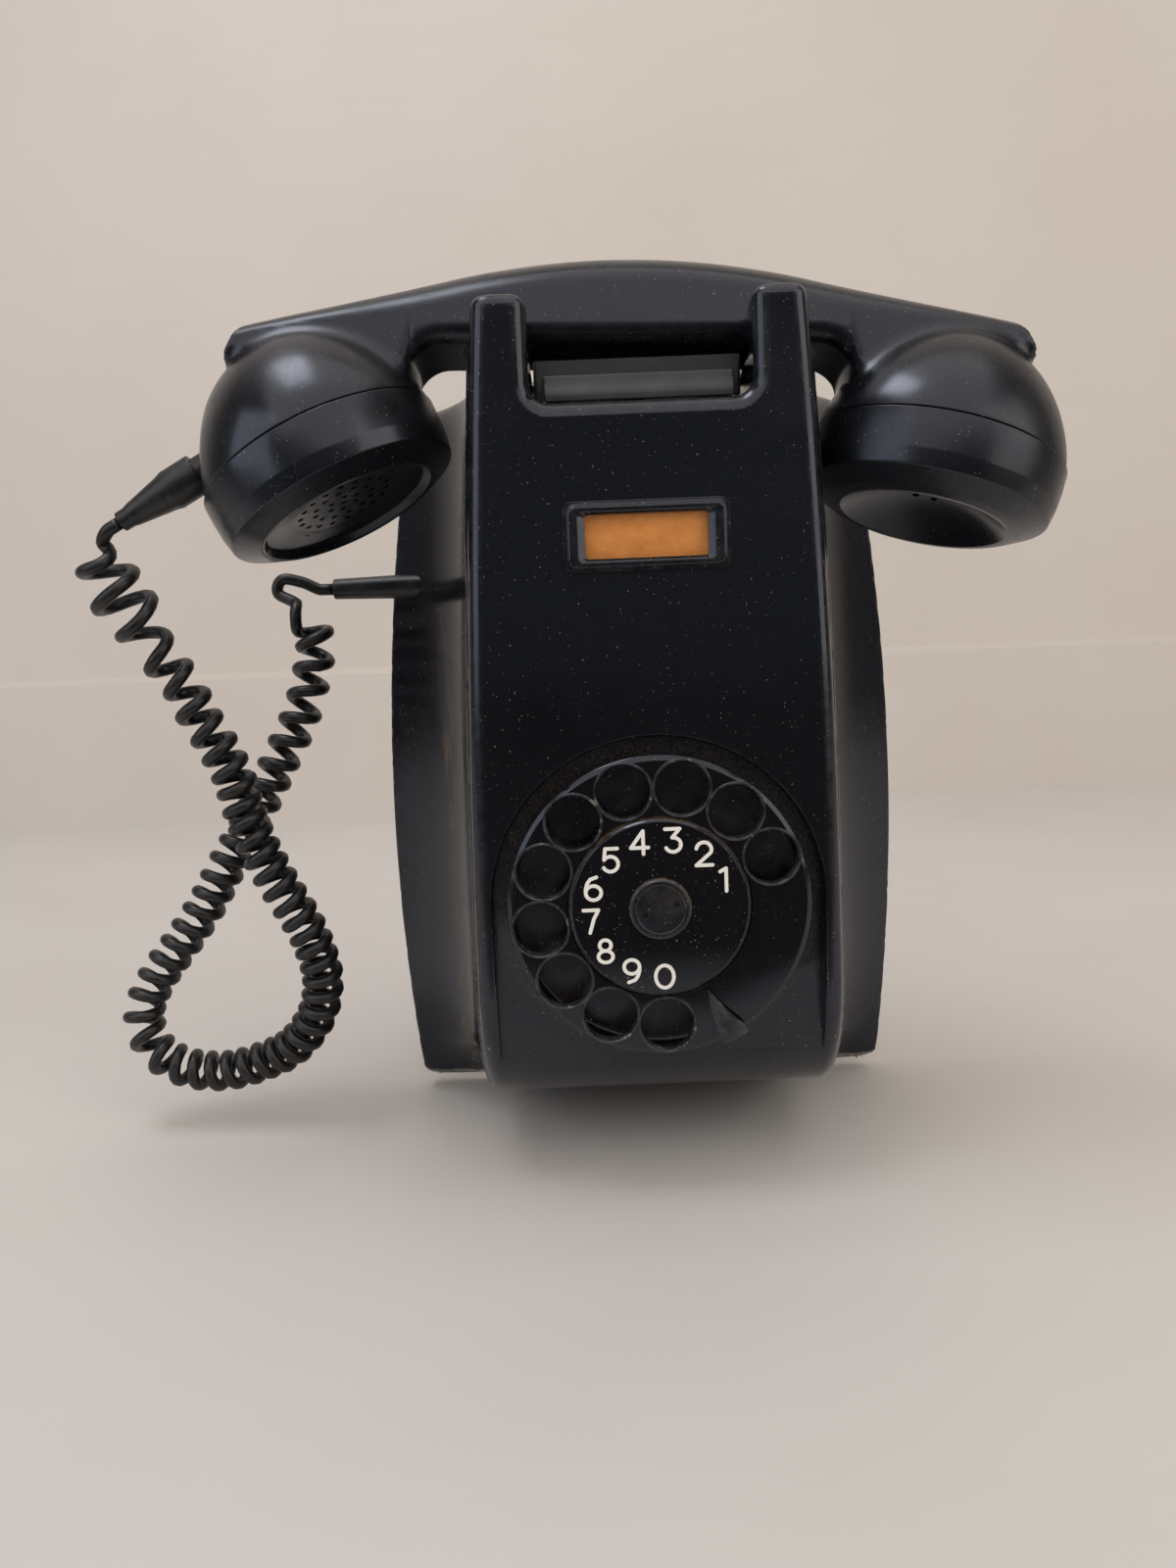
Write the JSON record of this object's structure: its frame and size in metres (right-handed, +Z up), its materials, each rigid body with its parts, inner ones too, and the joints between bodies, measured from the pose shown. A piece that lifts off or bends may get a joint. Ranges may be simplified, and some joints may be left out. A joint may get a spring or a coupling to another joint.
{
  "type": "wall telephone",
  "caption": "Black phenolic wall telephone with a finger-hole dial, a fork cradle with sprung bar, a lift-off handset and a curly cord, hung on a hidden steel plate",
  "frame": {"origin": "middle of the wall plate's back face, where the telephone lies against the wall", "axes": "+X to the right as seen by the user, +Y into the wall, +Z up"},
  "size_m": [0.275, 0.0941, 0.2448],
  "materials": {
    "bakelite": "polished black phenolic, worn at the edges",
    "black_steel": "black stoved enamel",
    "bright_steel": "plain turned or pressed steel",
    "brass": "dull turned brass",
    "nickel": "nickel plate, slightly dulled",
    "windings": "varnished copper windings with fibre ends",
    "grey_part": "grey moulding, semi-matt",
    "fibre": "brown laminated board",
    "rubber": "black rubber, slightly glossy",
    "card": "aged orange-brown paper",
    "celluloid": "clear yellowed window"
  },
  "bodies": {
    "phone": {"wall_plate": "black_steel", "housing": "bakelite", "cover_screw": "bright_steel", "card_frame": "bakelite", "number_card": "card", "card_window": "celluloid", "dial_case": "black_steel", "dial_clamp_ring": "bright_steel", "dial_plate": "bakelite", "finger_stop": "black_steel", "dial_frame": "brass", "dial_pillars": "brass", "mainspring": "bright_steel", "spring_drum": "bright_steel", "governor_cup": "nickel", "pulse_contacts": "nickel", "hook_pin": "bright_steel", "hook_bracket": "black_steel", "hook_contacts": "nickel", "ringer_bridge": "bright_steel", "ringer_coils": "windings", "ringer_yoke": "black_steel", "gongs": "nickel", "gong_screws": "bright_steel", "clapper_pin": "bright_steel", "capacitor": "grey_part", "induction_coil": "windings", "terminal_block": "bakelite", "terminal_screws": "brass", "line_grommet": "rubber", "cord_gland": "rubber", "curly_cord": "rubber"},
    "dial": {"finger_wheel": "bakelite", "number_disc": "bakelite", "centre_nut": "bakelite", "dial_shaft": "bright_steel", "main_gear": "brass"},
    "second": {"second_arbor": "brass", "pulse_cam": "fibre"},
    "governor": {"governor_arbor": "brass"},
    "hook": {"hook_bar": "grey_part"},
    "clapper": {"clapper": "bright_steel"},
    "handset": {"handset_body": "bakelite", "mouthpiece_cap": "bakelite", "earpiece_cap": "bakelite", "transmitter": "nickel", "receiver": "nickel", "handset_sleeve": "rubber"}
  },
  "joints": [
    {"name": "handset_lift", "type": "slide", "parent": "phone", "child": "handset", "axis": [0, 0, 1], "range_m": [0, 0.04], "deforming": ["curly_cord"]},
    {"name": "hook_swing", "type": "hinge", "parent": "phone", "child": "hook", "pos_m": [0, -0.04, 0.098], "axis": [-1, 0, 0], "range_deg": [0, 9]},
    {"name": "dial_turn", "type": "hinge", "parent": "phone", "child": "dial", "pos_m": [0, -0.088, -0.025], "axis": [0, 1, 0], "range_deg": [0, 318.5], "stiffness_Nm_per_rad": 0.02, "springref_deg": -85.94},
    {"name": "second_turn", "type": "hinge", "parent": "phone", "child": "second", "pos_m": [-0.00417, -0.06, -0.00136], "axis": [0, 1, 0], "range_deg": [-1274, 0]},
    {"name": "governor_turn", "type": "hinge", "parent": "phone", "child": "governor", "pos_m": [0.0078, -0.065, -0.0023], "axis": [0, 1, 0], "range_deg": [0, 2548]},
    {"name": "clapper_swing", "type": "hinge", "parent": "phone", "child": "clapper", "pos_m": [0, -0.025, 0.067], "axis": [0, 1, 0], "range_deg": [-5, 5], "stiffness_Nm_per_rad": 0.01}
  ],
  "couplings": [
    {"joint": "hook_swing", "follows": "handset_lift", "rad_per_m": 3.927},
    {"joint": "second_turn", "follows": "dial_turn", "ratio": -4},
    {"joint": "governor_turn", "follows": "dial_turn", "ratio": 8}
  ]
}
